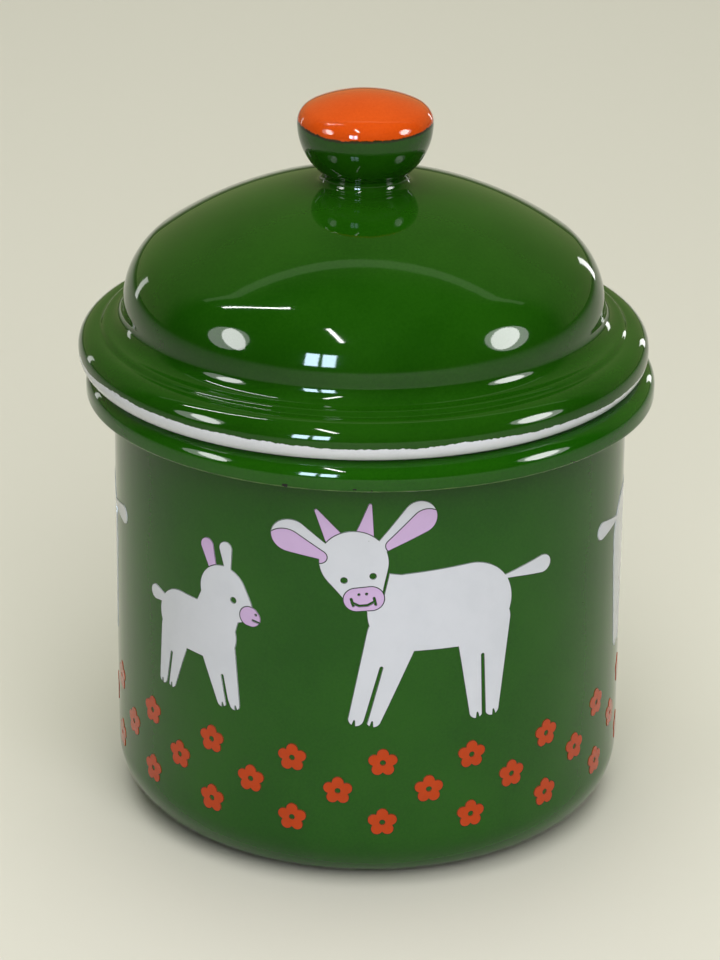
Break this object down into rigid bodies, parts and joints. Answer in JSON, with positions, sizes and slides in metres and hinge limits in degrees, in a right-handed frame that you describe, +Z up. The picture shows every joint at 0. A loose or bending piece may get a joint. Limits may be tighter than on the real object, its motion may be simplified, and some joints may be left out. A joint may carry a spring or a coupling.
{
  "type": "coffee canister",
  "caption": "Round enamelled steel coffee canister with a rolled lip, a loose domed lid with a hollow knob, and printed goats and flowers.",
  "frame": {"origin": "on the canister's axis, in the plane of the foot ring that it stands on", "axes": "+Z up along the canister's axis, -Y out of the side with the large goat, +X to that side's right"},
  "size_m": [0.1458, 0.144, 0.1871],
  "materials": {
    "steel": "matte",
    "green_enamel": "gloss",
    "white_enamel": "gloss",
    "orange_enamel": "gloss",
    "white_print": "gloss",
    "lilac_print": "gloss",
    "orange_print": "gloss"
  },
  "bodies": {
    "canister": {"can_shell": "steel", "can_green_enamel": "green_enamel", "can_white_enamel": "white_enamel", "goat_front_white_print": "white_print", "goat_left_white_print": "white_print", "goat_right_white_print": "white_print", "kid_front_white_print": "white_print", "kid_back_white_print": "white_print", "goat_front_lilac_print": "lilac_print", "goat_left_lilac_print": "lilac_print", "goat_right_lilac_print": "lilac_print", "kid_front_lilac_print": "lilac_print", "kid_back_lilac_print": "lilac_print", "flowers_upper_row_print": "orange_print", "flowers_middle_row_print": "orange_print", "flowers_lower_row_print": "orange_print"},
    "lid": {"lid_shell": "steel", "lid_locating_ring": "steel", "knob_bowl": "steel", "knob_cap": "steel", "lid_green_enamel": "green_enamel", "lid_white_enamel": "white_enamel", "knob_orange_enamel": "orange_enamel"}
  },
  "joints": [
    {"name": "lid_lift", "type": "slide", "parent": "canister", "child": "lid", "axis": [0, 0, 1], "range_m": [0, 0.12]}
  ]
}
